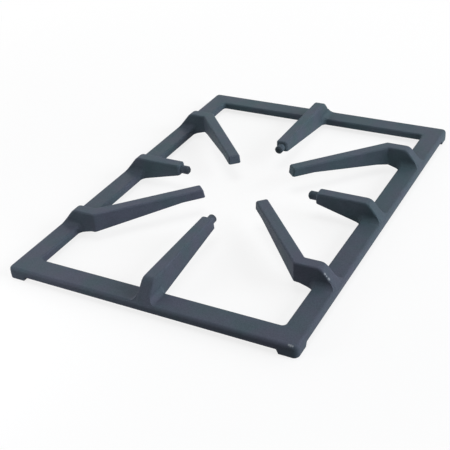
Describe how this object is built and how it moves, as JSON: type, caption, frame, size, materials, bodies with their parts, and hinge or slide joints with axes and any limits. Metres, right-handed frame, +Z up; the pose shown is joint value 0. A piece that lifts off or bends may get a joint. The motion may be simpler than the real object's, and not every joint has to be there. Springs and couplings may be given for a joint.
{
  "type": "hob pan support",
  "caption": "Rectangular cast iron hob pan support with corner feet and raised fingers that reach in around a burner to carry a pan.",
  "frame": {"origin": "middle of the footprint, on the plane that the feet stand on", "axes": "+Z up, +Y along the long side of the frame, +X across it"},
  "size_m": [0.2768, 0.3886, 0.0276],
  "materials": {
    "casting": "satin dark slate-grey enamel over cast iron"
  },
  "bodies": {
    "root": {"pan_support": "casting"}
  },
  "joints": []
}
